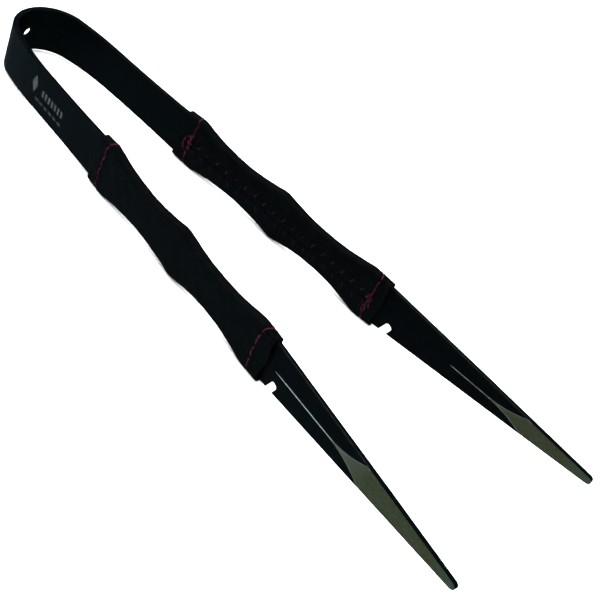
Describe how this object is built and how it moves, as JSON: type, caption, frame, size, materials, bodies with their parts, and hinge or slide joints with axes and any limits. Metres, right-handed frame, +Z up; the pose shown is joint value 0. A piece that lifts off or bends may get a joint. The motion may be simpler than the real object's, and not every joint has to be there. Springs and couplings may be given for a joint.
{
  "type": "aquascaping tweezers",
  "caption": "Long spring tweezers bent from one steel strip, with scalloped laced leather grips, ridged tapering blades and flat-ground tips.",
  "frame": {"origin": "centre of the base: the middle of the overall length, half way between the two arms, at the height of the surface that the tweezers rest on with their long edges down", "axes": "+X from the bent crown to the tips, +Y towards the left arm, +Z up, along the width of the strip; the arms close in the XY plane"},
  "size_m": [0.2872, 0.084, 0.023],
  "materials": {
    "black_steel": "matt black coating on spring steel",
    "black_leather": "smooth black leather, semi-matt",
    "red_thread": "waxed crimson thread"
  },
  "bodies": {
    "bow": {"steel_bow": "black_steel"},
    "left_arm": {"left_arm_steel": "black_steel", "left_leather_sleeve": "black_leather", "left_upper_wrap_stitches": "red_thread", "left_lower_wrap_stitches": "red_thread", "left_seam_lacing": "red_thread", "left_upper_seam_knot": "red_thread", "left_lower_seam_knot": "red_thread"},
    "right_arm": {"right_arm_steel": "black_steel", "right_leather_sleeve": "black_leather", "right_upper_wrap_stitches": "red_thread", "right_lower_wrap_stitches": "red_thread", "right_seam_lacing": "red_thread", "right_upper_seam_knot": "red_thread", "right_lower_seam_knot": "red_thread"}
  },
  "joints": [
    {"name": "left_arm_flex", "type": "hinge", "parent": "bow", "child": "left_arm", "pos_m": [-0.1056, 0.01906, 0.0113], "axis": [0, 0, -1], "range_deg": [0, 9.15], "stiffness_Nm_per_rad": 15},
    {"name": "right_arm_flex", "type": "hinge", "parent": "bow", "child": "right_arm", "pos_m": [-0.1056, -0.01906, 0.0113], "axis": [0, 0, 1], "range_deg": [0, 9.15], "stiffness_Nm_per_rad": 15}
  ],
  "couplings": [
    {"joint": "right_arm_flex", "follows": "left_arm_flex", "ratio": 1}
  ]
}
